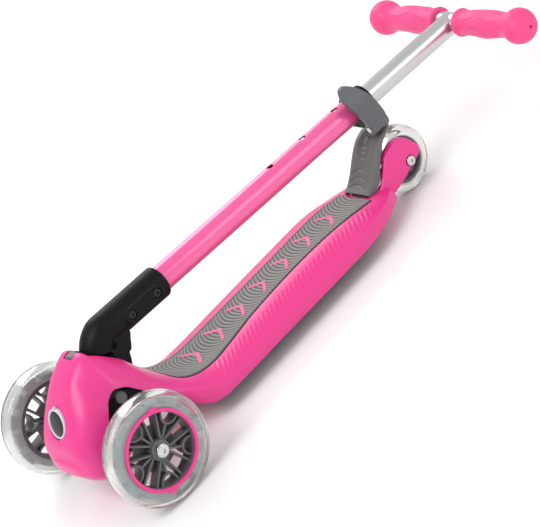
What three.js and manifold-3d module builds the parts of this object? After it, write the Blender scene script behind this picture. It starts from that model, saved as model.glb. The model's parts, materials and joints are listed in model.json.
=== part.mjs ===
// A folding three-wheel kick scooter for children, folded, standing on its three wheels.
// Millimetres. +Z is up, -Y is the front, +X is the rider's left.
// Most shapes are laid out with y = 0 at the front axle and z = 0 on the ground,
// and the whole scooter is then moved so that its box is centred on x and y.

import * as THREE from 'three';
import { mergeVertices } from 'three/addons/utils/BufferGeometryUtils.js';
import Module from 'manifold-3d';

const wasm = await Module();
wasm.setup();

// ---- driving dimensions ----
const gap = 0.3;                    // clearance between pieces that touch
const frontRadius = 60.5;           // front wheels
const rearRadius = 38.3;            // rear wheel
const wheelBase = 456.4;            // front axle to rear axle
const halfTrack = 103.25;           // middle plane of a front wheel
const tyreHalf = 11.75;             // half width of a tyre
const deckHalf = 63;                // half width of the deck
const shellWall = 3.4;              // moulded wall of nose and deck
const steerLean = THREE.MathUtils.degToRad(36.7);  // steering axis, leaning forward from upright
const pivotY = 70;                  // folding pivot
const pivotZ = 119;
const lockLean = THREE.MathUtils.degToRad(63);      // axis of the steering lock, from upright
const lockY = -33.4;                // middle of the lock's face
const lockZ = 105.4;
const bezelRadius = 16.5;
const stemDrop = Math.atan(0.065);  // the folded handlebar dips towards its handles
const stemHeight = 24.6;            // tube axis above the folding pivot
const sleeveRadius = 18.2;
const sleeveEnd = 78;               // along the tube, from the pivot
const lowerRadius = 14.3;
const lowerBore = 13.1;
const lowerEnd = 376;
const upperRadius = 12.5;
const upperBore = 11.1;
const snapAt = 303.4;               // snap button, in the middle height hole
const heightStep = 50;              // between the three height holes
const barAt = 534.2;                // cross tube, along the tube from the pivot
const barRadius = 11;
const gripStart = 18;
const gripEnd = 138;
const ballRadius = 19.7;
const ballAt = 118.3;               // centre of the ball end of a grip
const deckTop = 48;
const coverBottom = 19.5;
const deckFront = 104;
const coverRear = 374;
const forkInner = 14.2;
const forkOuter = 26;
const brakePivotY = 399;
const brakePivotZ = 33;
const springCap = [24, 97];           // y and z of the round cap on each side of the steering housing

// ---- colours ----
const pink = { color: 0xf0409a, roughness: 0.35, metalness: 0 };
const pinkTube = { color: 0xee4898, roughness: 0.25, metalness: 0.3 };
const pinkRubber = { color: 0xee4f95, roughness: 0.6, metalness: 0 };
const black = { color: 0x1b1b1c, roughness: 0.5, metalness: 0 };
const darkGrey = { color: 0x57585b, roughness: 0.55, metalness: 0 };
const midGrey = { color: 0x66686c, roughness: 0.45, metalness: 0 };
const matGrey = { color: 0x77787a, roughness: 0.8, metalness: 0 };
const paleGrey = { color: 0xc9cdd4, roughness: 0.4, metalness: 0 };
const clear = { color: 0xe4e8ec, roughness: 0.15, metalness: 0 };
const silver = { color: 0xcfd0d2, roughness: 0.25, metalness: 0.9 };
const steel = { color: 0xa9abae, roughness: 0.35, metalness: 0.9 };

// ---- solids ----
function toSolid(geometry) {
  const bare = geometry.index ? geometry.toNonIndexed() : geometry.clone();
  bare.deleteAttribute('normal');
  bare.deleteAttribute('uv');
  const merged = mergeVertices(bare, 1e-4);
  const mesh = new wasm.Mesh({
    numProp: 3,
    vertProperties: new Float32Array(merged.attributes.position.array),
    triVerts: new Uint32Array(merged.index.array),
  });
  return new wasm.Manifold(mesh);
}

function toGeometry(solid) {
  const mesh = solid.getMesh();
  const geometry = new THREE.BufferGeometry();
  geometry.setAttribute('position', new THREE.BufferAttribute(new Float32Array(mesh.vertProperties), 3));
  geometry.setIndex(new THREE.BufferAttribute(new Uint32Array(mesh.triVerts), 1));
  geometry.computeVertexNormals();
  return geometry;
}

function join(...solids) {
  return solids.reduce((whole, next) => whole.add(next));
}

function cut(solid, ...tools) {
  return tools.reduce((rest, tool) => rest.subtract(tool), solid);
}

function box(x0, x1, y0, y1, z0, z1) {
  const geometry = new THREE.BoxGeometry(x1 - x0, y1 - y0, z1 - z0);
  geometry.translate((x0 + x1) / 2, (y0 + y1) / 2, (z0 + z1) / 2);
  return toSolid(geometry);
}

// a round bar from one point to another
function rod(from, to, radius, sides = 24, endRadius = radius) {
  const a = new THREE.Vector3(...from);
  const b = new THREE.Vector3(...to);
  const geometry = new THREE.CylinderGeometry(endRadius, radius, a.distanceTo(b), sides);
  const turn = new THREE.Quaternion().setFromUnitVectors(
    new THREE.Vector3(0, 1, 0), b.clone().sub(a).normalize());
  geometry.applyQuaternion(turn);
  geometry.translate((a.x + b.x) / 2, (a.y + b.y) / 2, (a.z + b.z) / 2);
  return toSolid(geometry);
}

function barX(x0, x1, y, z, radius, sides) {
  return rod([x0, y, z], [x1, y, z], radius, sides);
}

function barAlong(y0, y1, x, z, radius, sides) {
  return rod([x, y0, z], [x, y1, z], radius, sides);
}

// a ring or disc about the X axis: profile points are [x, radius]
function turnedX(profile, sides = 32) {
  const points = profile.map(([x, radius]) => new THREE.Vector2(radius, x));
  const geometry = new THREE.LatheGeometry(points, sides);
  geometry.rotateZ(-Math.PI / 2);
  let solid = toSolid(geometry);
  if (solid.volume() < 0) {
    const turned = geometry.toNonIndexed();
    const p = turned.attributes.position.array;
    for (let i = 0; i < p.length; i += 9) {
      for (let k = 0; k < 3; k += 1) {
        [p[i + 3 + k], p[i + 6 + k]] = [p[i + 6 + k], p[i + 3 + k]];
      }
    }
    solid = toSolid(turned);
  }
  return solid;
}

// a flat outline of [y, z] points, given a thickness from x0 to x1
function plateX(outline, x0, x1) {
  const shape = new THREE.Shape(outline.map(([y, z]) => new THREE.Vector2(y, z)));
  const geometry = new THREE.ExtrudeGeometry(shape, { depth: x1 - x0, bevelEnabled: false });
  const map = new THREE.Matrix4().set(0, 0, 1, x0, 1, 0, 0, 0, 0, 1, 0, 0, 0, 0, 0, 1);
  geometry.applyMatrix4(map);
  return toSolid(geometry);
}

// a flat outline of [x, z] points, given a length from y0 to y1
function plateY(outline, y0, y1) {
  const shape = new THREE.Shape(outline.map(([x, z]) => new THREE.Vector2(x, z)));
  const geometry = new THREE.ExtrudeGeometry(shape, { depth: y1 - y0, bevelEnabled: false });
  geometry.rotateX(Math.PI / 2);
  geometry.translate(0, y1, 0);
  return toSolid(geometry);
}

// a skin through a row of equal rings of points, closed at both ends
function loft(rings) {
  const count = rings[0].length;
  const corners = rings.flat();
  const faces = [];
  for (let r = 0; r < rings.length - 1; r += 1) {
    for (let i = 0; i < count; i += 1) {
      const j = (i + 1) % count;
      const a = r * count + i;
      const b = r * count + j;
      faces.push([a, b, b + count], [a, b + count, a + count]);
    }
  }
  [0, rings.length - 1].forEach((r) => {
    const middle = [0, 1, 2].map((k) => rings[r].reduce((sum, p) => sum + p[k], 0) / count);
    const hub = corners.push(middle) - 1;
    for (let i = 0; i < count; i += 1) {
      const a = r * count + i;
      const b = r * count + ((i + 1) % count);
      faces.push(r === 0 ? [b, a, hub] : [a, b, hub]);
    }
  });
  const build = (flip) => {
    const geometry = new THREE.BufferGeometry();
    const list = faces.flatMap((f) => (flip ? [f[0], f[2], f[1]] : f).flatMap((i) => corners[i]));
    geometry.setAttribute('position', new THREE.BufferAttribute(new Float32Array(list), 3));
    return toSolid(geometry);
  };
  const solid = build(false);
  return solid.volume() > 0 ? solid : build(true);
}

// a smooth value between [position, value] knots
function along(knots) {
  return (at) => {
    let i = 0;
    while (i < knots.length - 2 && at > knots[i + 1][0]) i += 1;
    const [a, va] = knots[i];
    const [b, vb] = knots[i + 1];
    const slope = (k) => {
      const lo = knots[Math.max(k - 1, 0)];
      const hi = knots[Math.min(k + 1, knots.length - 1)];
      return (hi[1] - lo[1]) / (hi[0] - lo[0]);
    };
    const t = Math.min(Math.max((at - a) / (b - a), 0), 1);
    const h = b - a;
    return va * (2 * t ** 3 - 3 * t ** 2 + 1) + h * slope(i) * (t ** 3 - 2 * t ** 2 + t)
      + vb * (3 * t ** 2 - 2 * t ** 3) + h * slope(i + 1) * (t ** 3 - t ** 2);
  };
}

function placed(solid, group, name, look) {
  const mesh = new THREE.Mesh(toGeometry(solid), new THREE.MeshStandardMaterial(look));
  mesh.name = name;
  group.add(mesh);
}

// ---- groups ----
const scooter = new THREE.Group();
const column = new THREE.Group();           // y runs along the folded tube from the pivot
column.position.set(0, pivotY, pivotZ);
column.rotation.x = -stemDrop;
const steering = new THREE.Group();         // z runs up the steering axis from the axle
steering.position.set(0, 0, frontRadius);
steering.rotation.x = steerLean;
const lock = new THREE.Group();             // z points out of the steering lock's face
lock.position.set(0, lockY, lockZ);
lock.rotation.x = lockLean;
scooter.add(column, steering, lock);

// ---- nose and deck ----
const topLine = along([[-52, 70], [-50.5, 78], [-46, 88], [-40, 97], [-33.4, 106.5], [-20, 124], [-5, 138],
  [8, 145.8], [18, 150.3], [25, 151.5], [32, 146], [41, 137], [51, 125], [57, 117], [65.5, 99.5],
  [72, 88], [80, 75.5],
  [90, 64], [101, 56], [116, 49.5], [132, 46.3], [150, 46], [200, deckTop], [260, 49], [320, 48.5],
  [360, 46], [392, 41], [410, 38]]);
const halfWidth = along([[-52, 30], [-48, 40], [-40, 46], [-30, 49], [-15, 51], [0, 52], [20, 51],
  [40, 48.5], [60, 48], [75, 52], [87, 57.5], [100, 61], [116, deckHalf], [200, deckHalf],
  [330, deckHalf], [352, 60.5], [372, 54.5], [396, 44.5], [412, 35], [424, 29]]);
const ridgeLine = along([[-52, 58], [-40, 62], [-20, 69], [0, 78], [30, 90], [60, 78], [75, 60],
  [90, 49], [110, 40], [140, 36.5], [200, 36.5], [300, 36.5], [352, 37.5], [380, 37], [412, 36]]);
const underLine = along([[-52, 50], [-45, 39], [-36, 33], [0, 33], [40, 52], [62, 60], [76, 43],
  [86, 32], [100, 23], [125, 20.6], [200, 20.6], [320, 20.8], [372, 21], [424, 22]]);

// how far the nose falls from its crown to its ridge, at a share of its half width
const crownDrop = along([[0, 0], [0.2, 0.005], [0.4, 0.05], [0.6, 0.24], [0.8, 0.5], [0.93, 0.75], [1, 1]]);
const frontDrop = along([[0, 0], [0.4, 0.02], [0.7, 0.12], [0.85, 0.3], [0.95, 0.6], [1, 1]]);

function noseRing(y, inset) {
  const top = topLine(y) - inset;
  const wide = halfWidth(y) - inset;
  const ridge = ridgeLine(y);
  const under = underLine(y);
  const ring = [];
  for (let i = 0; i < 18; i += 1) {
    const a = (i / 18) * Math.PI * 2;
    const c = Math.cos(a);
    const s = Math.sin(a);
    const blunt = Math.min(Math.max((5 - y) / 47, 0), 1);
    const x = wide * Math.sign(c) * Math.abs(c) ** (s > 0 ? 1 : 0.8);
    const share = Math.abs(x) / wide;
    const fall = blunt * frontDrop(share) + (1 - blunt) * crownDrop(share);
    const low = (ridge - under) * Math.sign(s) * Math.abs(s) ** 0.7;
    const z = s > 0 ? top - (top - ridge) * fall : ridge + low;
    ring.push([x, y, z]);
  }
  return ring;
}

function deckRing(y, inset = 0, floor = underLine(y)) {
  const top = topLine(y) - inset;
  const wide = halfWidth(y) - inset;
  const ridge = Math.min(ridgeLine(y) - inset, top - 1);
  const right = [[0, top], [wide * 0.32, top], [wide * 0.52, top - 0.06 * (top - ridge)],
    [wide * 0.8, top - 0.5 * (top - ridge)], [wide * 0.95, ridge + 0.08 * (top - ridge)],
    [wide, ridge - 1.6], [wide + 0.6, (ridge + floor) / 2], [wide - 0.6, floor + 1], [wide - 3, floor]];
  const ring = right.map(([x, z]) => [x, y, z]);
  ring.push([0, y, floor]);
  right.slice(1).reverse().forEach(([x, z]) => ring.push([-x, y, z]));
  return ring;
}

function rows(from, to, step) {
  const count = Math.round((to - from) / step);
  return Array.from({ length: count + 1 }, (_, i) => from + ((to - from) * i) / count);
}

// the fork arm beside the rear wheel, as seen from the side
const forkOutline = [[392, 25], [421, 23.2], [442, 27.8], [456.5, 32.6], [468, 36], [474, 39], [475.5, 44],
  [470, 56], [463, 66.5], [454, 69], [442, 67], [432, 62.7], [424.5, 55], [417, 46], [407, 38.6],
  [392, 37.5]];

function makeDeck() {
  const noseStations = [-52, -49, -43, -34, -20, -4, 12, 22, 30, 41, 52, 62, 71, 80];
  const nose = loft(noseStations.map((y) => noseRing(y, 0)));
  const hollowStations = [-47.5, -42, -33, -20, -4, 12, 24, 36, 48, 59, 68, 75];
  const hollow = loft(hollowStations.map((y) => noseRing(y + (y < 30 ? 0 : 3.6), shellWall)));
  const belly = box(-43, 43, -40, 66, 0, 60);
  const plate = loft([...rows(66, 116, 6.25), 134, 160, 205, 260, 325, 346, 360, 374, 386, 398, 414]
    .map((y) => deckRing(y)));
  const plateHollow = loft([70, 79, 88, 98, 112, 136, 200, 260, 330, 352, 378]
    .map((y) => deckRing(y, shellWall + 3.2, underLine(y) - 6)));
  const armOutline = [[-29, 0], [-34, 42], [-37, 62], [-30, 67.5], [-11, 84], [0, 96], [10, 107],
    [21, 111.5],
    [34, 103.5], [46, 87], [57, 66], [66, 50], [80, 12]];
  const archLeft = plateX(armOutline, 35, 90);
  const archRight = plateX(armOutline, -90, -35);
  const slotOutline = [[29.5, 200], [29.5, 140], [26, 118], [26, 72], [62, 72], [75, 93], [110, 99],
    [110, 200]];
  const slot = plateX(slotOutline, -19.2, 19.2);
  const buttonNotch = box(-8.3, 8.3, 16.4, 35, 138, 160);
  const lockLine = (t) => [0, lockY - Math.sin(lockLean) * t, lockZ + Math.cos(lockLean) * t];
  const lockHole = rod(lockLine(-13), lockLine(16), bezelRadius + gap, 32);
  const matRecess = matSolid(0.35, 2.9, 5);
  const fork = join(plateX(forkOutline, forkInner, forkOuter), plateX(forkOutline, -forkOuter, -forkInner));
  const well = barX(-forkInner, forkInner, wheelBase, rearRadius, rearRadius + 3, 28);
  const brakeRoom = join(box(-22.6, 22.6, 390.4, 430, 37.6, 80),
    box(-forkInner, forkInner, 390.4, 430, 0, 80));
  const brakeHole = barX(-23, 23, brakePivotY, brakePivotZ, 2.8, 16);
  const axleHole = barX(-40, 40, wheelBase, rearRadius, 3.4, 20);
  const boltSeat = barX(forkOuter - 1.6, 40, wheelBase, rearRadius, 5.6, 20);
  const nutSeat = barX(-40, -forkOuter + 1.6, wheelBase, rearRadius, 5.6, 20);
  const shell = cut(join(nose, plate), hollow, belly, plateHollow);
  const root = box(-forkOuter, forkOuter, 384, 396, 26, 37);
  return cut(join(shell, fork, root), archLeft, archRight, slot, buttonNotch, lockHole, matRecess, well,
    brakeRoom, brakeHole, axleHole, boltSeat, nutSeat);
}

// the grip mat, let into the top of the deck and up towards the nose
const matHalf = along([[74, 12], [79, 24], [86, 34], [100, 38], [130, 36], [160, 33], [200, 28.5],
  [260, 25.8],
  [320, 27], [360, 30], [388, 30]]);
function matSolid(grow, thickness, lift) {
  const ys = [76 - grow, 80, 86, 93, 101, 110, 120, 132, 150, 175, 200, 230, 260, 290, 320, 345, 368,
    388 + grow];
  return loft(ys.map((y) => {
    const half = matHalf(y) + grow * 3;
    const slope = (topLine(y + 1) - topLine(y - 1)) / 2;
    const size = Math.hypot(1, slope);
    const at = (x, d) => [x, y + (slope / size) * d, topLine(y) - (1 / size) * d];
    return [at(-half, -lift), at(half, -lift), at(half, thickness), at(-half, thickness)];
  }));
}

function makeCover() {
  const outline = [];
  const ys = [deckFront, 116, 160, 330, 352, 372, coverRear];
  ys.forEach((y) => outline.push([halfWidth(y) - 8.6, y]));
  [...ys].reverse().forEach((y) => outline.push([-halfWidth(y) + 8.6, y]));
  const shape = new THREE.Shape(outline.map(([x, y]) => new THREE.Vector2(x, y)));
  const depth = 23.8 - coverBottom;
  const geometry = new THREE.ExtrudeGeometry(shape, {
    depth: depth - 2, bevelEnabled: true, bevelSize: 1.5, bevelThickness: 1, bevelSegments: 1 });
  geometry.translate(0, 0, coverBottom + 1);
  const posts = [130, 350].map((y) => rod([0, y, 23], [0, y, 38.5], 5, 16));
  const holes = [130, 350].map((y) => rod([0, y, 10], [0, y, 34], 2.3, 12));
  const seats = [130, 350].map((y) => rod([0, y, 10], [0, y, 21.5], 4.3, 16));
  return cut(join(toSolid(geometry), ...posts), ...holes, ...seats);
}

placed(makeDeck(), scooter, 'deck_body', pink);
placed(makeCover(), scooter, 'under_cover', black);
placed(matSolid(0, 2.5, 0), scooter, 'deck_mat', matGrey);
[130, 350].forEach((y, i) => {
  const screw = join(rod([0, y, coverBottom + 0.4], [0, y, 21.2], 4, 16), rod([0, y, 21], [0, y, 32],
    2, 12));
  placed(screw, scooter, `cover_screw_${i + 1}`, steel);
});

// ---- steering housing, inside the nose ----
function makeHousing() {
  const cheek = [[-16, 86], [-10, 82], [44, 82], [47, 86], [43, 93], [30, 101], [10, 104], [-6, 96]];
  const left = plateX(cheek, 21, 42.5);
  const right = plateX(cheek, -42.5, -21);
  const beam = [[-24, 81], [-4, 82], [18, 82], [22, 90], [18, 100], [-4, 102], [-20, 92]];
  const bridge = plateX(beam, -24, 24);
  const t = (d) => [0, -Math.sin(steerLean) * d, frontRadius + Math.cos(steerLean) * d];
  const pinRoom = rod(t(10), t(34), 5.4, 16);
  const hubRoom = rod(t(-25), t(20), 17, 20);
  const swing = rod([-25, pivotY, pivotZ], [25, pivotY, pivotZ], 47, 48);
  const plungerRoom = rod(t(33), t(60), 9.5, 20);
  const springSeats = [30, -30].map((x) => rod([x, 6, 78], [x, 6, 91], 6.6, 16));
  const capSeats = [barX(40.6, 46, ...springCap, 7.4, 20), barX(-46, -40.6, ...springCap, 7.4, 20)];
  return cut(join(left, right, bridge), pinRoom, hubRoom, plungerRoom, ...springSeats, ...capSeats,
    swing.intersect(box(-20, 20, 20, 90, 40, 140)));
}
placed(makeHousing(), scooter, 'steering_housing', black);
[['left', 1], ['right', -1]].forEach(([side, s]) => {
  const cap = rod([s * 40.9, ...springCap], [s * 44.2, ...springCap], 7, 20, 6);
  placed(cap, scooter, `spring_cap_${side}`, darkGrey);
  const spring = cut(rod([s * 30, 6, 81], [s * 30, 6, 90.6], 6.2, 16),
    rod([s * 30, 6, 70], [s * 30, 6, 95], 4, 12));
  placed(spring, scooter, `steering_spring_${side}`, steel);
});

// ---- folding joint ----
const bracketHalf = 7.9;
function makeBracket() {
  const eye = barX(-bracketHalf, bracketHalf, pivotY, pivotZ, 7, 24);
  const leg = plateX([[64, 117], [75, 115], [71, 103], [66, 93], [60, 78], [50, 78], [50, 88]],
    -bracketHalf, bracketHalf);
  const foot = box(-17, 17, 49, 58.5, 75, 81);
  return cut(join(eye, leg, foot), barX(-30, 30, pivotY, pivotZ, 3.3, 20));
}
placed(makeBracket(), scooter, 'hinge_bracket', black);
placed(barX(-15, 15, pivotY, pivotZ, 3, 20), scooter, 'fold_pin', steel);

function arc(radius, fromDeg, toDeg, steps = 8) {
  return Array.from({ length: steps + 1 }, (_, i) => {
    const a = THREE.MathUtils.degToRad(fromDeg + ((toDeg - fromDeg) * i) / steps);
    return [radius * Math.cos(a), radius * Math.sin(a)];
  });
}

function sector(radius, fromDeg, toDeg, steps) {
  return [[0, 0], ...arc(radius, fromDeg, toDeg, steps)];
}

function makeColumnBase() {
  const bend = loft(rows(90, 156, 11).map((deg) => {
    const a = THREE.MathUtils.degToRad(deg);
    const reach = stemHeight + Math.min((deg - 90) / 20, 1) * 1.7;
    return Array.from({ length: 16 }, (_, i) => {
      const b = (i / 16) * Math.PI * 2;
      const r = reach + sleeveRadius * Math.cos(b);
      return [17.6 * Math.sin(b), r * Math.cos(a), r * Math.sin(a)];
    });
  }));
  const sleeve = barAlong(-0.5, sleeveEnd, 0, stemHeight, sleeveRadius, 24);
  const hub = barX(-17.4, 17.4, 0, 0, 7.8, 20);
  const heel = plateX(sector(18, 148, 228), -17.4, 17.4);
  const web = plateX([[-6, 14], [-14, 0], [-4, -7], [3, -6.8], [7.6, -1], [10, 4], [13, 8.5],
    [14, 13]], -14, 14);
  const pad = join(box(14, 19.2, 22, 62, stemHeight - 8, stemHeight + 8),
    barX(14, 19.2, 22, stemHeight, 8, 14), barX(14, 19.2, 62, stemHeight, 8, 14));
  const bore = barAlong(14, 90, 0, stemHeight, lowerRadius + gap, 24);
  const bracketRoom = join(barX(-8.4, 8.4, 0, 0, 7.9, 16), plateX(sector(31, 131, 322, 9), -8.4, 8.4));
  const pinRoom = barX(-15.4, 15.4, 0, 0, 3.3, 20);
  const screwRooms = [23.6, 59.9].map((y) => join(barX(-17, 30, y, stemHeight, 2.8, 10),
    barX(16.4, 30, y, stemHeight, 4.8, 14)));
  return cut(join(bend, sleeve, hub, heel, web, pad), bore, bracketRoom, pinRoom, ...screwRooms);
}
placed(makeColumnBase(), column, 'column_base', black);
[23.6, 59.9].forEach((y, i) => {
  const head = barX(16.7, 19, y, stemHeight, 4.4, 20);
  const socket = barX(17.4, 22, y, stemHeight, 2, 6);
  placed(cut(join(head, barX(-16, 17, y, stemHeight, 2.4, 16)), socket), column,
    `column_screw_${i + 1}`, black);
});

// ---- handlebar tubes ----
function makeLowerTube() {
  const tube = cut(barAlong(16, lowerEnd, 0, stemHeight, lowerRadius, 24),
    barAlong(0, lowerEnd + 10, 0, stemHeight, lowerBore, 24));
  const holes = [-1, 0, 1].map((k) => rod([0, snapAt + k * heightStep, stemHeight],
    [0, snapAt + k * heightStep, stemHeight + 30], 4.2, 12));
  const screwHoles = [23.6, 59.9].map((y) => barX(-30, 30, y, stemHeight, 2.8, 10));
  return cut(tube, ...holes, ...screwHoles);
}
placed(makeLowerTube(), column, 'lower_tube', pinkTube);

const tubeFoot = snapAt - 24;
const saddle = barX(-60, 60, barAt, stemHeight, barRadius + gap, 24);
const upperTube = cut(barAlong(tubeFoot + 2, barAt, 0, stemHeight, upperRadius, 24),
  barAlong(0, barAt + 40, 0, stemHeight, upperBore, 24), saddle,
  rod([0, snapAt, stemHeight], [0, snapAt, stemHeight + 30], 4, 16));
placed(upperTube, column, 'upper_tube', silver);
const plug = cut(barAlong(tubeFoot + 2.3, tubeFoot + 34, 0, stemHeight, upperBore - gap, 24),
  rod([0, snapAt, stemHeight - 6], [0, snapAt, stemHeight + 30], 4, 16));
placed(plug, column, 'tube_plug', black);
const snap = join(rod([0, snapAt, stemHeight - 4], [0, snapAt, stemHeight + 11.6], 3.6, 16),
  rod([0, snapAt, stemHeight + 11.5], [0, snapAt, stemHeight + 12.7], 3.6, 16, 2.4));
placed(snap, column, 'snap_button', silver);
placed(cut(barX(-ballAt, ballAt, barAt, stemHeight, barRadius, 20),
  barX(-ballAt - 1, ballAt + 1, barAt, stemHeight, barRadius - 1.6, 16)), column, 'cross_tube', silver);

function makeGrip(side) {
  const x = (d) => side * d;
  const profile = [[x(gripStart), barRadius + gap], [x(gripStart), 14.4], [x(gripStart + 3), 15.8],
    [x(gripStart + 10), 13.4], [x(40), 14.2], [x(64), 15.6], [x(94), 13.4], [x(101.2), 14.4]];
  const turns = 6;
  for (let i = 1; i <= turns; i += 1) {
    const a = Math.PI * 0.68 * (1 - i / turns);
    profile.push([x(ballAt + ballRadius * Math.cos(a)), i === turns ? 0 : ballRadius * Math.sin(a)]);
  }
  const floor = ballAt + gap + 0.2;
  profile.push([x(floor), 0], [x(floor), barRadius + gap], [x(gripStart), barRadius + gap]);
  return turnedX(profile, 20).translate([0, barAt, stemHeight]);
}
placed(makeGrip(1), column, 'grip_left', pinkRubber);
placed(makeGrip(-1), column, 'grip_right', pinkRubber);

// ---- height clamp with its lever ----
const clampFrom = 367;
const clampTo = 394;
const clampMid = (clampFrom + clampTo) / 2;
const boltDrop = 22.4;
const leverPinX = 20.6;
function makeCollar() {
  const ring = barAlong(clampFrom + 3, clampTo, 0, stemHeight, 17.3, 24);
  const ears = join(box(-12.4, 12.4, clampFrom + 3, clampTo - 1, stemHeight - boltDrop, stemHeight - 12),
    barX(-12.4, 12.4, clampMid, stemHeight - boltDrop, 6.8, 14));
  const split = box(-1.2, 1.2, clampFrom - 5, clampTo + 5, stemHeight - 40, stemHeight - 8);
  return cut(join(ring, ears), split, barAlong(350, lowerEnd + 0.4, 0, stemHeight, lowerRadius + gap, 24),
    barAlong(360, 420, 0, stemHeight, upperRadius + gap, 24),
    barX(-30, 30, clampMid, stemHeight - boltDrop, 3.3, 16));
}
placed(makeCollar(), column, 'clamp_collar', black);
const pinZ = stemHeight - boltDrop;
placed(join(barX(-16.6, -12.8, clampMid, pinZ, 5.4, 20), barX(-13, leverPinX - 4.2, clampMid, pinZ,
  2.9, 16)),
  column, 'clamp_bolt', steel);
placed(barAlong(clampFrom + 2, clampTo - 2, leverPinX, pinZ, 3.8, 20), column, 'lever_pin', steel);

function makeLever() {
  const mid = [[20.6, -22.4], [24.4, -14], [24.6, -4], [24, 6], [21.6, 15], [17.4, 22.6],
    [13, 29.5], [9, 36.5]];
  const half = [4.2, 4, 3.4, 3.3, 3.2, 3.1, 2.9, 2.2];
  const outer = [];
  const inner = [];
  mid.forEach(([x, z], i) => {
    const before = mid[Math.max(i - 1, 0)];
    const after = mid[Math.min(i + 1, mid.length - 1)];
    const length = Math.hypot(after[0] - before[0], after[1] - before[1]);
    const nx = (after[1] - before[1]) / length;
    const nz = -(after[0] - before[0]) / length;
    outer.push([x + nx * half[i], z + nz * half[i] + stemHeight]);
    inner.push([x - nx * half[i], z - nz * half[i] + stemHeight]);
  });
  const side = [[clampFrom, -8], [clampTo - 1, -8], [clampTo - 2, 10], [clampTo - 3, 34], [388, 50],
    [381, 60],
    [372, 64.2], [363, 61], [358.5, 53], [359.5, 40], [363, 25], [clampFrom, 8]];
  const blade = plateY([...outer, ...inner.reverse()],
    clampFrom - 12, clampTo).intersect(plateX(side, -20, 50));
  const eye = barAlong(clampFrom + 1, clampTo - 2, leverPinX, pinZ, 7.4, 24);
  return cut(join(blade, eye), barAlong(350, 420, leverPinX, pinZ, 4.1, 20),
    box(8, 26, clampMid - 3.6, clampMid + 3.6, pinZ - 12, pinZ + 3.6));
}
placed(makeLever(), column, 'clamp_lever', midGrey);

// ---- buttons ----
placed(join(box(-7.8, 7.8, 17, 28.6, 144.5, 150.6), rod([0, 21.4, 134], [0, 21.4, 145], 4, 16)),
  scooter, 'fold_button', darkGrey);
placed(cut(rod([0, 21.4, 128.4], [0, 21.4, 139], 5.2, 16), rod([0, 21.4, 120], [0, 21.4, 150], 4.3, 16)),
  scooter, 'fold_spring', steel);

placed(cut(rod([0, 0, -4], [0, 0, 1.2], bezelRadius, 32), rod([0, 0, -10], [0, 0, 10], 13.6, 32)),
  lock, 'lock_bezel', paleGrey);
placed(join(rod([0, 0, -4], [0, 0, 1], 13.2, 32, 12), rod([0, 0, -12.5], [0, 0, -3.8], 4, 16)),
  lock, 'lock_button', black);
placed(cut(rod([0, 0, -12], [0, 0, -8.4], 6.4, 16), rod([0, 0, -20], [0, 0, 0], 4.4, 16)),
  lock, 'lock_spring', steel);
placed(rod([0, 0, -24], [0, 0, 31.5], 5, 20), steering, 'kingpin', steel);

// ---- truck, turning about the kingpin ----
function makeTruck() {
  const hub = rod([0, 0, -21], [0, 0, 19], 15.5, 20);
  const armSizes = [[8, 13], [26, 12.5], [46, 11], [70, 9.6], [87.5, 8.6]];
  const arm = (s) => loft(armSizes.map(([x, r]) => Array.from({ length: 14 }, (_, i) => {
    const b = (i / 14) * Math.PI * 2;
    return [s * x, r * Math.cos(b), r * Math.sin(b) * 0.92];
  })));
  const bores = [1, -1].map((s) => barX(Math.min(s * 24, s * 95), Math.max(s * 24, s * 95), 0, 0, 4.3, 14));
  return cut(join(hub, arm(1), arm(-1)), rod([0, 0, -40], [0, 0, 40], 5.3, 16), ...bores);
}
placed(makeTruck(), steering, 'truck_body', black);

// ---- front wheels ----
const wheelSides = 28;
const tyreInner = 43.4;
function tyreProfile(radius, inner, half) {
  return [[-half + 1, inner], [-half, inner + 1.6], [-half, radius - 8], [-half + 4, radius - 1.8],
    [-3, radius],
    [3, radius], [half - 4, radius - 1.8], [half, radius - 8], [half, inner + 1.6], [half - 1, inner],
    [-half + 1, inner]];
}

function bandProfile(half, inner, outer) {
  return [[-half, inner], [-half, outer], [half, outer], [half, inner], [-half, inner]];
}

function makeCore() {
  const band = turnedX(bandProfile(6.5, tyreInner, 46.4), wheelSides);
  const lugs = Array.from({ length: 10 }, (_, i) => {
    const a = (i / 10) * Math.PI * 2;
    const corner = (r, b) => [r * Math.cos(a + b), r * Math.sin(a + b)];
    const lug = [corner(45.8, -0.2), corner(53, -0.2), corner(53.8, 0), corner(53, 0.2), corner(45.8, 0.2)];
    return plateX(lug, -6, 6);
  });
  return join(band, ...lugs);
}
const wheelCore = makeCore();
const coreRoom = turnedX(bandProfile(6.8, 30, 54.2), wheelSides);

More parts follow.
